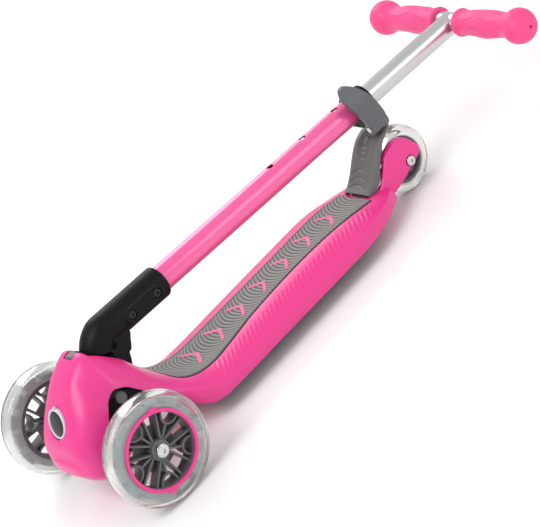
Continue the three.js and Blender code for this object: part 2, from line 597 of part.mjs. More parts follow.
const scoopSteps = 4;
function makeHub() {
  const rim = turnedX(bandProfile(9.4, 38.6, tyreInner - gap), wheelSides);
  const boss = turnedX(bandProfile(9.8, 6, 11), 28);
  const parts = [];
  for (let i = 0; i < 5; i += 1) {
    const a = (i / 5) * Math.PI * 2 + Math.PI / 2;
    const at = (r, t) => [r * Math.cos(a) - t * Math.sin(a), r * Math.sin(a) + t * Math.cos(a)];
    [-1, 1].forEach((k) => parts.push(plateX(
      [at(8, k * 3.2), at(8, k * 5.6), at(40.4, k * 9.6), at(40.4, k * 7.2)], -6.5, 6.5)));
    const b = a + Math.PI / 5;
    const bt = (r, t) => [r * Math.cos(b) - t * Math.sin(b), r * Math.sin(b) + t * Math.cos(b)];
    const scoop = [];
    for (let j = 0; j <= scoopSteps; j += 1) {
      const c = (j / scoopSteps) * Math.PI;
      scoop.push(bt(39.5 - 14 * Math.sin(c), 11 * Math.cos(c)));
    }
    for (let j = scoopSteps; j >= 0; j -= 1) {
      const c = (j / scoopSteps) * Math.PI;
      scoop.push(bt(39.5 - 12 * Math.sin(c), 9.2 * Math.cos(c)));
    }
    parts.push(plateX(scoop, -6.5, 6.5));
    parts.push(plateX([bt(8, -1.1), bt(8, 1.1), bt(26.4, 1.1), bt(26.4, -1.1)], -6.5, 6.5));
  }
  const seats = [-1, 1].map((k) => barX(Math.min(k * 3.6, k * 12), Math.max(k * 3.6, k * 12), 0, 0,
    8.2, 24));
  const inside = barX(-12, 12, 0, 0, 6.2, 20);
  return cut(join(rim, boss, ...parts), ...seats, inside);
}

function bearing(x0, x1, outer, inner) {
  return turnedX([[x0, inner], [x0, outer], [x1, outer], [x1, inner], [x0, inner]], 12);
}

[['left', 1], ['right', -1]].forEach(([side, s]) => {
  const wheel = new THREE.Group();
  wheel.position.set(s * halfTrack, 0, frontRadius);
  scooter.add(wheel);
  const ordered = (a, b) => [Math.min(s * a, s * b), Math.max(s * a, s * b)];
  const tyre = cut(turnedX(tyreProfile(frontRadius, tyreInner, tyreHalf), wheelSides), coreRoom);
  placed(tyre, wheel, `tyre_${side}`, clear);
  placed(wheelCore, wheel, `tyre_core_${side}`, paleGrey);
  placed(makeHub(), wheel, `hub_${side}`, midGrey);
  const [r0, r1] = ordered(9.8, 11.6);
  const ring = turnedX([[r0, 40.6], [r0, 43], [r1, 43], [r1, 40.6], [r0, 40.6]], wheelSides);
  placed(ring, wheel, `hub_ring_${side}`, pink);
  [['inner', ordered(-3.9, -9.6)], ['outer', ordered(3.9, 9.6)]].forEach(([which, [x0, x1]]) => {
    placed(bearing(x0, x1, 7.9, 4.5), wheel, `bearing_${side}_${which}`, steel);
  });
  const [b0, b1] = ordered(-3.6, 3.6);
  placed(bearing(b0, b1, 5.8, 4.5), wheel, `spacer_${side}`, steel);
  const bolt = join(barX(...ordered(10, 14.4), 0, 0, 7.4, 28), barX(...ordered(-76, 10.2), 0, 0, 4, 20));
  placed(cut(bolt, barX(...ordered(12.4, 20), 0, 0, 3, 6)), wheel, `axle_bolt_${side}`, steel);
});

// ---- rear wheel and its axle ----
const rearWheel = new THREE.Group();
rearWheel.position.set(0, wheelBase, rearRadius);
scooter.add(rearWheel);
placed(turnedX(tyreProfile(rearRadius, 26.4, tyreHalf), 28), rearWheel, 'tyre_rear', clear);
const rearHub = turnedX([[-10.2, 8.2], [-10.2, 13], [-6, 15], [-6, 21.5], [-10.6, 23], [-10.6, 26.1],
  [10.6, 26.1],
  [10.6, 23], [6, 21.5], [6, 15], [10.2, 13], [10.2, 8.2], [4, 8.2], [4, 5.6], [-4, 5.6], [-4, 8.2],
  [-10.2, 8.2]], 20);
placed(rearHub, rearWheel, 'hub_rear', midGrey);
placed(bearing(-10.2, -4.3, 7.9, 3.7), rearWheel, 'bearing_rear_right', steel);
placed(bearing(4.3, 10.2, 7.9, 3.7), rearWheel, 'bearing_rear_left', steel);
const rearBolt = cut(join(barX(-29.6, 25, 0, 0, 3.1, 20), barX(forkOuter - 1.3, forkOuter + 1.2, 0, 0,
  5.2, 20)),
  barX(forkOuter - 0.6, forkOuter + 4, 0, 0, 2.2, 6));
placed(rearBolt, rearWheel, 'rear_axle_bolt', steel);
placed(cut(barX(-forkOuter - 2.4, -forkOuter + 1.3, 0, 0, 5.2, 6), barX(-40, 0, 0, 0, 3.4, 20)),
  rearWheel, 'rear_axle_nut', steel);

// ---- heel brake ----
// the crown line runs from the pivot end over the wheel: y, z, half width and depth of the side walls
const fenderLine = [[392.4, 45.4, 19.5, 5.6], [399, 49.2, 21, 9], [407, 55.4, 21.6, 11.5],
  [415, 63, 21.8, 9.5],
  [425, 72.6, 21.8, 9], [436, 80.6, 21.6, 7.4], [447, 85, 21, 6], [457, 86.6, 19, 5], [463.5, 88.4, 15, 4]];
const padGap = 2.6;                  // from the brake pad to the tyre

function makeFender() {
  const crown = [];
  const leftWall = [];
  const rightWall = [];
  fenderLine.forEach(([y, z, w, deep], i) => {
    const before = fenderLine[Math.max(i - 1, 0)];
    const after = fenderLine[Math.min(i + 1, fenderLine.length - 1)];
    const length = Math.hypot(after[0] - before[0], after[1] - before[1]);
    const down = [(after[1] - before[1]) / length, -(after[0] - before[0]) / length];
    const at = (x, d) => [x, y + down[0] * d, z + down[1] * d];
    crown.push([at(-w * 0.6, 0.5), at(0, 0), at(w * 0.6, 0.5), at(w - 0.3, 2.2), at(w - 0.8, 4.4),
      at(w * 0.6, 3.8),
      at(0, 3.4), at(-w * 0.6, 3.8), at(-w + 0.8, 4.4), at(-w + 0.3, 2.2)]);
    leftWall.push([at(w - 2.6, 3), at(w, 2.6), at(w, deep), at(w - 2.6, deep)]);
    rightWall.push([at(-w + 2.6, 3), at(-w, 2.6), at(-w, deep), at(-w + 2.6, deep)]);
  });
  const knuckle = join(barX(-12.8, 12.8, brakePivotY, brakePivotZ, 5.6, 16),
    plateX([[394.6, 46], [400, 48.6], [404, 40], [404.4, 33], [394, 33]], -12.8, 12.8));
  const padOutline = [...arc(rearRadius + padGap, 104, 128), ...arc(rearRadius + 8, 128, 108)];
  const pad = plateX(padOutline.map(([y, z]) => [y + wheelBase, z + rearRadius]), -9, 9);
  return cut(join(loft(crown), loft(leftWall), loft(rightWall), knuckle, pad),
    barX(-20, 20, brakePivotY, brakePivotZ, 2.8, 12), barX(-5, 5, brakePivotY, brakePivotZ, 7.5, 16));
}
placed(makeFender(), scooter, 'brake_fender', darkGrey);
placed(barX(-21, 21, brakePivotY, brakePivotZ, 2.5, 16), scooter, 'brake_pin', steel);
placed(turnedX([[-4.6, 2.9], [-4.6, 4.6], [4.6, 4.6], [4.6, 2.9], [-4.6, 2.9]], 20)
  .translate([0, brakePivotY, brakePivotZ]), scooter, 'brake_spring', steel);

// centre the whole on x and y
const bounds = new THREE.Box3().setFromObject(scooter, true);
scooter.position.y = -(bounds.min.y + bounds.max.y) / 2;

export default scooter;
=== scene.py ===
import json
import math
import bpy
from mathutils import Matrix, Vector


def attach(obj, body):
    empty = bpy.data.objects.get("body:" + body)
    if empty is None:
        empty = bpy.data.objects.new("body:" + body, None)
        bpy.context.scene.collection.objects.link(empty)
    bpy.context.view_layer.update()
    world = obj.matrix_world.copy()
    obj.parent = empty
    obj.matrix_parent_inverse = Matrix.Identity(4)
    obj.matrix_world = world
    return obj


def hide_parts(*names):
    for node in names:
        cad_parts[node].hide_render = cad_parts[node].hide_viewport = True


# A three-wheel kick scooter, folded. Shapes are laid out in millimetres and scaled to metres at the end.
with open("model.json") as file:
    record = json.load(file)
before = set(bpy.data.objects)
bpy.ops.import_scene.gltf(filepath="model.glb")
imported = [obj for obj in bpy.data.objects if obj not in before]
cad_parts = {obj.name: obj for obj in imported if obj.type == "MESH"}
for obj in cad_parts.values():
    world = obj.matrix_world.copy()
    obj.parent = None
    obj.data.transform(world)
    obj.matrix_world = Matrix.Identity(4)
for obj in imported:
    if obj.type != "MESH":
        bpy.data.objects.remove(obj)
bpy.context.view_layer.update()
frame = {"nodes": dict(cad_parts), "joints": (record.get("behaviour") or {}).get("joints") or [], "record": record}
joints = {j["name"]: j for j in frame["joints"]}
millimetre = Matrix.Scale(0.001, 4)
# a shape turned about Z lies along X or along Y
acrossX = Matrix.Rotation(math.pi / 2, 4, "Y")
alongY = Matrix.Rotation(-math.pi / 2, 4, "X")
# a flat outline stands in the YZ plane or in the XZ plane
sideOn = Matrix(((0, 0, 1, 0), (1, 0, 0, 0), (0, 1, 0, 0), (0, 0, 0, 1)))
frontOn = Matrix(((1, 0, 0, 0), (0, 0, -1, 0), (0, 1, 0, 0), (0, 0, 0, 1)))

slideAxis = Vector(joints["height"]["axis"])
steerAxis = Vector(joints["steer"]["axis"])
stemDrop = math.atan2(-slideAxis.z, slideAxis.y)
steerLean = math.atan2(-steerAxis.y, steerAxis.z)
axle = Vector(joints["steer"]["pos_m"])
layout = Matrix.Translation((0, axle.y, 0)) @ millimetre
column = Matrix.Translation(joints["fold"]["pos_m"]) @ Matrix.Rotation(-stemDrop, 4, "X") @ millimetre
steering = Matrix.Translation(axle) @ Matrix.Rotation(steerLean, 4, "X") @ millimetre
wheelAt = {name: Matrix.Translation(joints["spin_" + name]["pos_m"]) @ millimetre
           for name in ("left", "right", "rear")}


# modelling helpers
def deselect():
    bpy.ops.object.select_all(action="DESELECT")


def activate(obj):
    deselect()
    obj.select_set(True)
    bpy.context.view_layer.objects.active = obj


def settle(obj):
    obj.data.transform(obj.matrix_world)
    obj.matrix_world = Matrix.Identity(4)
    return obj


def cleanNormals(obj, merge=0.001):
    activate(obj)
    bpy.ops.object.mode_set(mode="EDIT")
    bpy.ops.mesh.select_all(action="SELECT")
    bpy.ops.mesh.remove_doubles(threshold=merge)
    bpy.ops.mesh.normals_make_consistent(inside=False)
    bpy.ops.object.mode_set(mode="OBJECT")
    return obj


# profile points are (distance along the axis, radius)
def turned(profile, sides=96, ring=False):
    deselect()
    z, r = profile[0]
    bpy.ops.mesh.primitive_circle_add(vertices=sides, radius=r, location=(0, 0, z),
                                      fill_type="NOTHING" if ring else "NGON")
    obj = bpy.context.object
    bpy.ops.object.mode_set(mode="EDIT")
    for (z0, r0), (z1, r1) in zip(profile, profile[1:]):
        bpy.ops.mesh.extrude_region_move(TRANSFORM_OT_translate={"value": (0, 0, z1 - z0)})
        bpy.ops.transform.resize(value=(r1 / r0, r1 / r0, 1), center_override=(0, 0, z1))
    bpy.ops.object.mode_set(mode="OBJECT")
    return cleanNormals(settle(obj))


def softened(points, radius, steps=4, loop=True):
    count = len(points)
    result = []
    for i, point in enumerate(points):
        if not loop and i in (0, count - 1):
            result.append(tuple(point))
            continue
        here = Vector(point)
        before = Vector(points[i - 1]) - here
        after = Vector(points[(i + 1) % count]) - here
        start = here + before.normalized() * min(radius, before.length * 0.45)
        end = here + after.normalized() * min(radius, after.length * 0.45)
        for k in range(steps + 1):
            t = k / steps
            result.append(tuple(start * (1 - t) ** 2 + here * 2 * t * (1 - t) + end * t * t))
    return result


def ringTurned(profile, radius=0.8, sides=96, steps=4):
    soft = softened(profile, radius, steps)
    return turned(soft + [soft[0]], sides, ring=True)


def barTurned(z0, z1, radius, edge=0.6, sides=64):
    points = [(z0, 0.2), (z0, radius), (z1, radius), (z1, 0.2)]
    return turned(softened(points, edge, 3, loop=False), sides)


def plate(outline, depth, start=0.0, bevel=0.0, segments=3):
    deselect()
    bpy.ops.mesh.primitive_circle_add(vertices=len(outline), radius=1, fill_type="NGON")
    obj = bpy.context.object
    for vertex, (u, v) in zip(obj.data.vertices, outline):
        vertex.co = (u, v, start)
    bpy.ops.object.mode_set(mode="EDIT")
    bpy.ops.mesh.select_all(action="SELECT")
    bpy.ops.mesh.extrude_region_move(TRANSFORM_OT_translate={"value": (0, 0, depth)})
    bpy.ops.object.mode_set(mode="OBJECT")
    cleanNormals(obj)
    if bevel:
        soften(obj, bevel, segments)
    return obj


def block(x0, x1, y0, y1, z0, z1, bevel=0.0, segments=3):
    deselect()
    bpy.ops.mesh.primitive_cube_add(size=1, location=((x0 + x1) / 2, (y0 + y1) / 2, (z0 + z1) / 2),
                                    scale=(x1 - x0, y1 - y0, z1 - z0))
    obj = settle(bpy.context.object)
    if bevel:
        soften(obj, bevel, segments)
    return obj


# one skin over rings of points, closed at both ends
def skin(rings):
    count = len(rings[0])
    faces = []
    for r in range(len(rings) - 1):
        for i in range(count):
            j = (i + 1) % count
            faces.append((r * count + i, r * count + j, (r + 1) * count + j, (r + 1) * count + i))
    faces.append(tuple(reversed(range(count))))
    faces.append(tuple((len(rings) - 1) * count + i for i in range(count)))
    mesh = bpy.data.meshes.new("skin")
    mesh.from_pydata([p for ring in rings for p in ring], [], faces)
    obj = bpy.data.objects.new("skin", mesh)
    bpy.context.scene.collection.objects.link(obj)
    return cleanNormals(obj)


def applyModifier(obj, kind, **values):
    modifier = obj.modifiers.new(kind.lower(), kind)
    for key, value in values.items():
        setattr(modifier, key, value)
    activate(obj)
    bpy.ops.object.modifier_apply(modifier=modifier.name)
    return obj


def soften(obj, width, segments=3, angle=35):
    return applyModifier(obj, "BEVEL", width=width, segments=segments, limit_method="ANGLE",
                         angle_limit=math.radians(angle), harden_normals=False)


def carve(obj, *tools, operation="DIFFERENCE"):
    for tool in tools:
        applyModifier(obj, "BOOLEAN", operation=operation, object=tool, solver="EXACT", use_self=False)
        bpy.data.objects.remove(tool)
    return obj


def moved(obj, matrix):
    obj.data.transform(matrix)
    return obj


def bar(p, q, radius, edge=0.5, sides=48):
    a = Vector(p)
    b = Vector(q)
    obj = barTurned(0, (b - a).length, radius, edge, sides)
    turn = Vector((0, 0, 1)).rotation_difference(b - a).to_matrix().to_4x4()
    return moved(obj, Matrix.Translation(a) @ turn)


def joined(*parts):
    deselect()
    for part in parts:
        part.select_set(True)
    bpy.context.view_layer.objects.active = parts[0]
    bpy.ops.object.join()
    return bpy.context.object


# moulded parts: the pieces run into one skin with soft inner corners
def moulded(parts, voxel, rounds=4):
    obj = joined(*parts)
    applyModifier(obj, "REMESH", mode="VOXEL", voxel_size=voxel, adaptivity=0.0)
    return applyModifier(obj, "SMOOTH", factor=0.5, iterations=rounds)


def done(obj, name, matrix, body, look, nodes=(), angle=32):
    obj.data.transform(matrix)
    obj.name = name
    obj.data.name = name
    obj.data.materials.clear()
    obj.data.materials.append(look)
    activate(obj)
    bpy.ops.object.shade_smooth_by_angle(angle=math.radians(angle))
    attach(obj, body)
    if nodes:
        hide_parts(*nodes)
    return obj


def copied(obj):
    twin = obj.copy()
    twin.data = obj.data.copy()
    bpy.context.scene.collection.objects.link(twin)
    return twin


# a smooth value between (position, value) knots
def along(knots):
    def value(at):
        i = 0
        while i < len(knots) - 2 and at > knots[i + 1][0]:
            i += 1
        (a, va), (b, vb) = knots[i], knots[i + 1]

        def slope(k):
            low = knots[max(k - 1, 0)]
            high = knots[min(k + 1, len(knots) - 1)]
            return (high[1] - low[1]) / (high[0] - low[0])
        h = b - a
        t = min(max((at - a) / h, 0), 1)
        return (va * (2 * t ** 3 - 3 * t ** 2 + 1) + h * slope(i) * (t ** 3 - 2 * t ** 2 + t)
                + vb * (3 * t ** 2 - 2 * t ** 3) + h * slope(i + 1) * (t ** 3 - t ** 2))
    return value


def ease(a, b, x):
    t = min(max((x - a) / (b - a), 0), 1)
    return t * t * (3 - 2 * t)


def rows(a, b, step):
    count = max(1, round((b - a) / step))
    return [a + (b - a) * i / count for i in range(count + 1)]


# materials
# vary: spread of the color; bump: height of the grain in metres; edge: radius of the softened edges;
# the attribute for painted shade darkens the color where shade falls; any other value goes straight on the shader
# share of the color that is left under full painted shade
paintedShadeShare = 0.08


def material(name, color, rough, metallic=0.0, vary=0.06, scale=60.0, bump=0.0, bumpScale=900.0, edge=0.0,
             stretch=(1, 1, 1), shadeAttribute="", **extra):
    look = bpy.data.materials.new(name)
    look.use_nodes = True
    nodes = look.node_tree.nodes
    links = look.node_tree.links
    shader = nodes["Principled BSDF"]
    place = nodes.new("ShaderNodeTexCoord")
    spread = nodes.new("ShaderNodeMapping")
    spread.inputs["Scale"].default_value = stretch
    links.new(place.outputs["Object"], spread.inputs["Vector"])
    cloud = nodes.new("ShaderNodeTexNoise")
    cloud.inputs["Scale"].default_value = scale
    cloud.inputs["Detail"].default_value = 3
    links.new(spread.outputs["Vector"], cloud.inputs["Vector"])
    tint = nodes.new("ShaderNodeMix")
    tint.data_type = "RGBA"
    low = [c * (1 - vary) for c in color]
    high = [min(c * (1 + vary * 0.5), 1) for c in color]
    tint.inputs[6].default_value = (*low, 1)
    tint.inputs[7].default_value = (*high, 1)
    links.new(cloud.outputs["Fac"], tint.inputs[0])
    # painted shade: a mesh attribute darkens the color where shade falls
    if shadeAttribute:
        depth = nodes.new("ShaderNodeAttribute")
        depth.attribute_name = shadeAttribute
        shade = nodes.new("ShaderNodeMix")
        shade.data_type = "RGBA"
        shade.inputs[7].default_value = (*[c * paintedShadeShare for c in color], 1)
        links.new(depth.outputs["Fac"], shade.inputs[0])
        links.new(tint.outputs[2], shade.inputs[6])
        links.new(shade.outputs[2], shader.inputs["Base Color"])
    else:
        links.new(tint.outputs[2], shader.inputs["Base Color"])
    gloss = nodes.new("ShaderNodeMapRange")
    gloss.inputs["To Min"].default_value = rough * 0.85
    gloss.inputs["To Max"].default_value = min(rough * 1.15, 1)
    links.new(cloud.outputs["Fac"], gloss.inputs["Value"])
    links.new(gloss.outputs["Result"], shader.inputs["Roughness"])
    shader.inputs["Metallic"].default_value = metallic
    for key, value in extra.items():
        shader.inputs[key.replace("_", " ")].default_value = value
    normal = None
    if edge:
        roundEdge = nodes.new("ShaderNodeBevel")
        roundEdge.samples = 4
        roundEdge.inputs["Radius"].default_value = edge
        normal = roundEdge.outputs["Normal"]
    if bump:
        grain = nodes.new("ShaderNodeTexNoise")
        grain.inputs["Scale"].default_value = bumpScale
        grain.inputs["Detail"].default_value = 2
        links.new(spread.outputs["Vector"], grain.inputs["Vector"])
        raised = nodes.new("ShaderNodeBump")
        raised.inputs["Distance"].default_value = bump
        raised.inputs["Strength"].default_value = 0.6
        links.new(grain.outputs["Fac"], raised.inputs["Height"])
        if normal:
            links.new(normal, raised.inputs["Normal"])
        normal = raised.outputs["Normal"]
    if normal:
        links.new(normal, shader.inputs["Normal"])
    return look


looks = {
    "pink_moulding": material("pinkMoulding", (0.77, 0.03, 0.25), 0.36, bump=0.00003, edge=0.0004,
                              Coat_Weight=0.15, Coat_Roughness=0.25),
    "pink_paint": material("pinkPaint", (0.84, 0.1, 0.32), 0.2, 0.2, bump=0.00001, edge=0.0003,
                           Coat_Weight=0.7, Coat_Roughness=0.08),
    "pink_grip": material("pinkGrip", (0.86, 0.06, 0.25), 0.5, bump=0.00004),
    "black_moulding": material("blackMoulding", (0.006, 0.006, 0.0065), 0.42, vary=0.2, bump=0.00004,
                               edge=0.0004, Specular_IOR_Level=0.14),
    "brake_grey": material("brakeGrey", (0.125, 0.125, 0.12), 0.46, vary=0.1, bump=0.00004),
    "lever_grey": material("leverGrey", (0.1, 0.104, 0.112), 0.42, vary=0.08, bump=0.00003),
    "hub_grey": material("hubGrey", (0.1, 0.102, 0.106), 0.42, vary=0.1, bump=0.00003, edge=0.0003),
    # the mat's color carries painted shade in its grooves and a painted shadow along its rim
    "mat_grey": material("matGrey", (0.27, 0.272, 0.258), 0.6, vary=0.1, bump=0.00005, shadeAttribute="paintedShade"),
    "core_white": material("coreWhite", (0.62, 0.67, 0.74), 0.35, bump=0.00002),
    "clear_tyre": material("clearTyre", (0.8, 0.82, 0.79), 0.1, vary=0.02, bump=0.00001, bumpScale=300,
                           Transmission_Weight=0.92, IOR=1.42),
    "silver_tube": material("silverTube", (0.6, 0.6, 0.61), 0.3, 1.0, bump=0.000008, stretch=(8, 1, 8)),
    "steel": material("steel", (0.62, 0.61, 0.6), 0.22, 1.0, bump=0.000008, edge=0.0002),
    "spring_steel": material("springSteel", (0.36, 0.36, 0.37), 0.35, 1.0, bump=0.00001),
    "bezel_grey": material("bezelGrey", (0.6, 0.58, 0.66), 0.3, bump=0.00001),
}
markPink = material("markPink", (0.78, 0.14, 0.34), 0.5, bump=0.00003)
buttonBlack = material("buttonBlack", (0.009, 0.009, 0.01), 0.3, vary=0.2, bump=0.00001,
                       Specular_IOR_Level=0.35)
print("materials", len(looks) + 2)

# every node that stays gets the finish of its slot
for part in frame["record"]["subparts"]:
    node = frame["nodes"][part["node"]]
    node.data.materials.clear()
    node.data.materials.append(looks[part["material_slot"]])

# nose and deck
deck = {
    "samples": 64, "noseStep": 2.0, "deckStep": 0.85, "wall": 3.4,
    "ribPitch": 6.4, "ribHeight": 0.4, "ribFrom": 126, "ribTo": 372, "forkInner": 14.2, "forkOuter": 26,
}
topLine = along([(-52, 70), (-50.5, 78), (-46, 88), (-40, 97), (-33.4, 106.5), (-20, 124), (-5, 138),
                 (8, 145.8), (18, 150.3), (25, 151.5), (32, 146), (41, 137), (51, 125), (57, 117),
                 (65.5, 99.5), (72, 88), (80, 75.5),
                 (90, 64), (101, 56), (116, 49.5), (132, 46.3), (150, 46), (200, 48), (260, 49), (320, 48.5),
                 (360, 46), (392, 41), (410, 38)])
halfWidth = along([(-52, 30), (-48, 40), (-40, 46), (-30, 49), (-15, 51), (0, 52), (20, 51), (40, 48.5),
                   (60, 48), (75, 52), (87, 57.5), (100, 61), (116, 63), (200, 63), (330, 63), (352, 60.5),
                   (372, 54.5), (396, 44.5), (412, 35), (424, 29)])
ridgeLine = along([(-52, 58), (-40, 62), (-20, 69), (0, 78), (30, 90), (60, 78), (75, 60), (90, 49),
                   (110, 40), (140, 36.5), (200, 36.5), (300, 36.5), (352, 37.5), (380, 37), (412, 36)])
underLine = along([(-52, 50), (-45, 39), (-36, 33), (0, 33), (40, 52), (62, 60), (76, 43), (86, 32),
                   (100, 23), (125, 20.6), (200, 20.6), (320, 20.8), (372, 21), (424, 22)])
# share of the fall from the middle line to the ridge, over the share of the half width
deckDrop = along([(0, 0), (0.3, 0), (0.42, 0.02), (0.55, 0.1), (0.68, 0.27), (0.8, 0.5), (0.9, 0.75),
                  (0.96, 0.93), (1, 1.12)])
crownDrop = along([(0, 0), (0.2, 0.005), (0.4, 0.05), (0.6, 0.24), (0.8, 0.5), (0.93, 0.75), (1, 1)])
frontDrop = along([(0, 0), (0.4, 0.02), (0.7, 0.12), (0.85, 0.3), (0.95, 0.6), (1, 1)])
sideOut = along([(0, 0), (0.3, 0.6), (0.55, 0), (0.64, -1), (0.7, -3)])


# one closed ring round the shell at y: the nose's round section runs over into the deck's flat one
def section(y, inset=0.0, ribs=True):
    top = topLine(y) - inset
    wide = halfWidth(y) - inset
    ridge = min(ridgeLine(y) - inset * 0.3, top - 2)
    under = underLine(y) + inset
    share = ease(48, 84, y)
    half = []
    count = deck["samples"]
    for i in range(count + 1):
        t = 2 * i / count
        if t <= 1:
            a = math.pi / 2 * (1 - t)
            reach = math.cos(a)
            blunt = min(max((5 - y) / 47, 0), 1)
            noseX = wide * reach
            noseZ = top - (top - ridge) * (blunt * frontDrop(reach) + (1 - blunt) * crownDrop(reach))
            deckX = wide * t
            deckZ = top - deckDrop(t) * (top - ridge)
            if ribs and deck["ribFrom"] - 8 < y < deck["ribTo"] + 8:
                fade = ease(deck["ribFrom"] - 6, deck["ribFrom"] + 6, y)
                fade *= 1 - ease(deck["ribTo"] - 6, deck["ribTo"] + 6, y)
                fade *= ease(0.58, 0.64, t) * (1 - ease(0.9, 0.95, t))
                wave = math.sin((y + deckX * 0.7) / deck["ribPitch"] * 2 * math.pi)
                deckZ += deck["ribHeight"] * fade * wave
        else:
            a = math.pi / 2 * (t - 1)
            noseX = wide * max(math.cos(a), 0) ** 0.8
            noseZ = ridge - (ridge - under) * math.sin(a) ** 0.7
            s = t - 1
            edgeZ = top - deckDrop(1) * (top - ridge)
            deckX = wide + sideOut(s) if s < 0.7 else (wide - 3) * (1 - s) / 0.3
            deckZ = edgeZ + (under - edgeZ) * min(s / 0.62, 1)
        half.append((noseX * (1 - share) + deckX * share, noseZ * (1 - share) + deckZ * share))
    ring = [(x, y, z) for x, z in half]
    ring += [(-x, y, z) for x, z in reversed(half[1:-1])]
    return ring


def domed(ring, y, scale):
    middle = [sum(p[k] for p in ring) / len(ring) for k in range(3)]
    return [(middle[0] + (p[0] - middle[0]) * scale, y, middle[2] + (p[2] - middle[2]) * scale) for p in ring]


def surfaceZ(x, y):
    return topLine(y) - deckDrop(min(abs(x) / halfWidth(y), 1)) * (topLine(y) - ridgeLine(y))


matHalf = along([(74, 12), (79, 24), (86, 34), (100, 38), (130, 36), (160, 33), (200, 28.5), (260, 25.8),
                 (320, 27), (360, 30), (388, 30)])
# one key sets the strength of the shade painted into the mat's grooves
mat = {"from": 76, "to": 388, "step": 0.46, "across": 40, "pitch": 4.6, "curve": 0.014, "ribHeight": 1.0,
       "rise": 0.3, "thickness": 2.4, "gap": 0.9, "paintedGrooveShade": 0.85,
       "marks": 7, "markFirst": 122, "markStep": 36}


def matWave(x, y):
    return abs(math.sin((y - x * x * mat["curve"]) / mat["pitch"] * math.pi))


def matRings(grow, low, high, step, ribs):
    rings = []
    for y in rows(mat["from"] - grow, mat["to"] + grow, step):
        half = matHalf(y) + grow
        ring = []
        for i in range(mat["across"] + 1):
            x = half * (2 * i / mat["across"] - 1)
            z = surfaceZ(x, y) + high
            if ribs:
                z += mat["ribHeight"] * (matWave(x, y) ** 0.45 - 0.75) * (1 - ease(0.94, 0.99, abs(x) / half))
            ring.append((x, y, z))
        for i in range(mat["across"], -1, -4):
            x = half * (2 * i / mat["across"] - 1)
            ring.append((x, y, surfaceZ(x, y) + low))
        rings.append(ring)
    return rings


# outlines seen from the side: the fork arm beside the rear wheel and the arch over the front wheel's arm
forkOutline = [(388, 25), (421, 23.2), (442, 27.8), (456.5, 32.6), (468, 36), (474, 39), (475.5, 44),
               (470, 56), (463, 66.5), (454, 69), (442, 67), (432, 62.7), (424.5, 55), (417, 46),
               (407, 38.6), (388, 37.5)]
archOutline = [(-29, 0), (-34, 42), (-37, 62), (-30, 67.5), (-11, 84), (0, 96), (10, 107), (21, 111.5),
               (34, 103.5), (46, 87), (57, 66), (66, 50), (80, 12)]
# the slot in the top of the nose that the folding column turns in
slotOutline = [(29.5, 200), (29.5, 140), (26, 118), (26, 72), (62, 72), (75, 93), (110, 99), (110, 200)]
wheelBase = (Vector(joints["spin_rear"]["pos_m"]).y - axle.y) * 1000
rearRadius = joints["spin_rear"]["pos_m"][2] * 1000
lock = {"y": -33.4, "z": 105.4, "bezel": 16.5, "bore": 13.6, "button": 13.2}
lockAxis = Vector(joints["lock_press"]["axis"])
lockLean = math.atan2(lockAxis.y, -lockAxis.z)
lockFrame = layout @ Matrix.Translation((0, lock["y"], lock["z"])) @ Matrix.Rotation(lockLean, 4, "X")


def lockPoint(t):
    return (0, lock["y"] - math.sin(lockLean) * t, lock["z"] + math.cos(lockLean) * t)


front = section(-52)
stations = rows(-52, 84, deck["noseStep"]) + rows(85, 414, deck["deckStep"])
rings = [domed(front, y, scale)
         for y, scale in ((-55.4, 0.2), (-55.2, 0.4), (-54.7, 0.6), (-53.8, 0.8), (-53.0, 0.92))]
shell = skin(rings + [section(y) for y in stations])
hollow = skin([section(y, deck["wall"], ribs=False) for y in rows(-46, 74, 3)])
shell = carve(shell, hollow)
for side in (1, -1):
    arm = plate(softened(forkOutline, 4, 3), deck["forkOuter"] - deck["forkInner"], bevel=2.2, segments=4)
    moved(arm, sideOn)
    moved(arm, Matrix.Translation((deck["forkInner"] if side > 0 else -deck["forkOuter"], 0, 0)))
    carve(shell, arm, operation="UNION")
tools = [moved(plate(softened(archOutline, 5, 4), 55, 35), sideOn),
         moved(plate(softened(archOutline, 5, 4), 55, -90), sideOn),
         moved(plate(softened(slotOutline, 3, 3), 38.4, -19.2), sideOn),
         block(-8.3, 8.3, 16.4, 35, 138, 160),
         bar(lockPoint(-13), lockPoint(16), lock["bezel"] + 0.3, sides=128),
         skin(matRings(mat["gap"], -mat["thickness"] - 0.5, 5, 1.7, False)),
         bar((-14.2, wheelBase, rearRadius), (14.2, wheelBase, rearRadius), rearRadius + 3, 0.2, 96),
         block(-22.6, 22.6, 390.4, 430, 37.6, 80),
         block(-14.2, 14.2, 390.4, 440, 0, 80),
         block(-40, 40, -40, 66, 0, 60)]
for side in (1, -1):
    tools.append(bar((side * 24.4, wheelBase, rearRadius), (side * 40, wheelBase, rearRadius), 6.6, 0.3))
shell = carve(shell, *tools)
done(shell, "deckShell", layout, "deck", looks["pink_moulding"], ["deck_body"], 40)
print("deck shell", len(shell.data.polygons))

matPad = skin(matRings(0, -mat["thickness"], mat["rise"], mat["step"], True))
